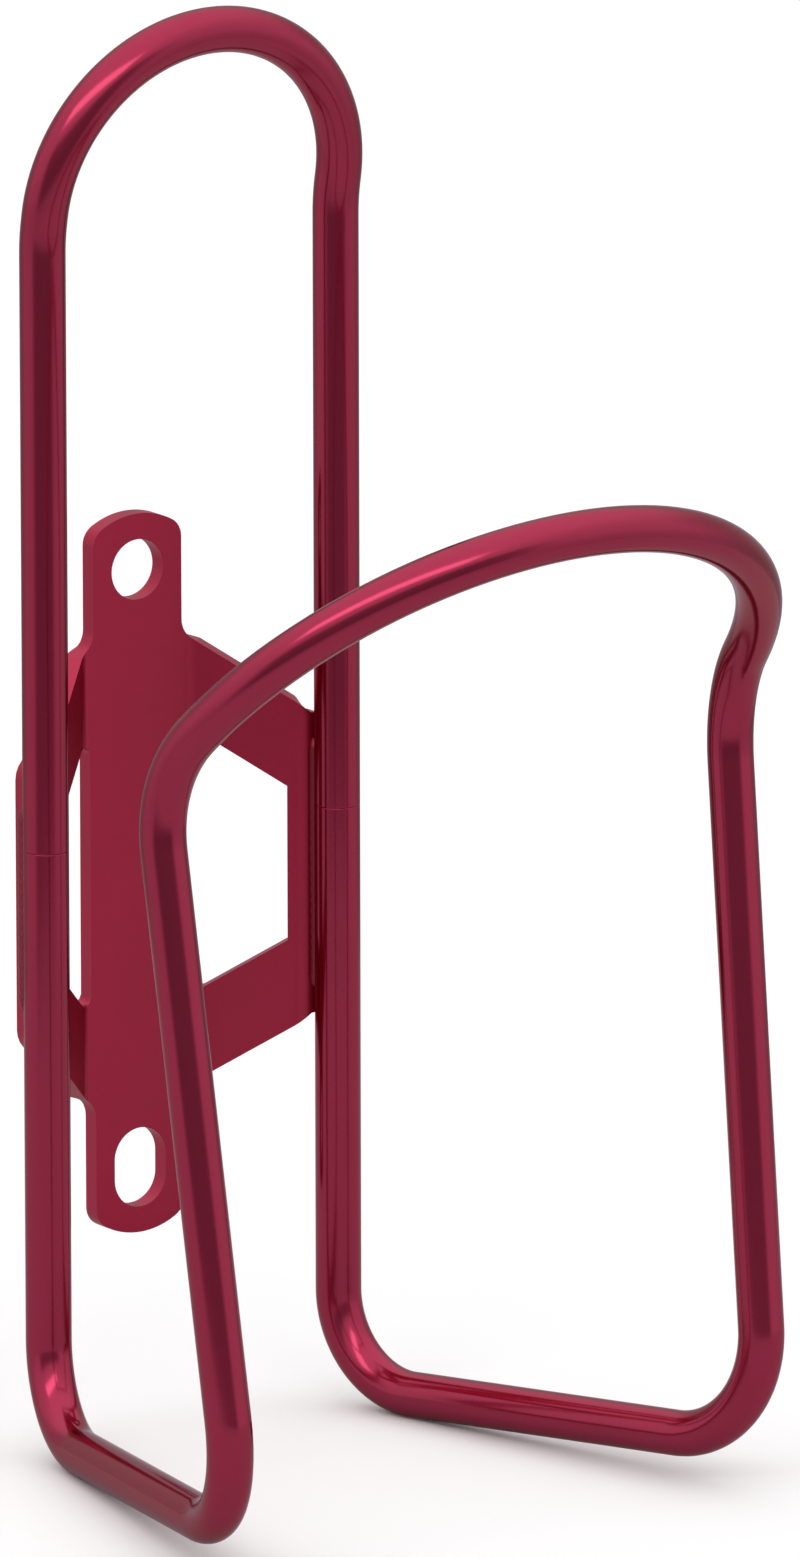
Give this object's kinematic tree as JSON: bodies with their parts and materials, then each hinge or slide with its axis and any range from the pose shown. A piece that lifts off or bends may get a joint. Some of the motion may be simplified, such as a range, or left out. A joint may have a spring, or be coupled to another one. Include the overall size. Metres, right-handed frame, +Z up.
{
  "type": "water bottle cage",
  "caption": "Bent-rod bicycle water bottle cage with a tall rear arch, a front hoop and a stamped mounting plate with a bolt hole and slot.",
  "frame": {"origin": "on the mounting plate's back face, midway between the two bolt holes", "axes": "+Z up along the rails, +Y out of the back face towards the bicycle tube, the bottle stands on the -Y side"},
  "size_m": [0.075, 0.0858, 0.1516],
  "materials": {
    "rod": "satin red anodised",
    "plate": "satin red anodised",
    "weld": "satin red anodised"
  },
  "bodies": {
    "root": {"arch_rod": "rod", "loop_rod": "rod", "mount_plate": "plate", "weld_left_inner": "weld", "weld_left_outer": "weld", "weld_right_inner": "weld", "weld_right_outer": "weld"}
  },
  "joints": []
}
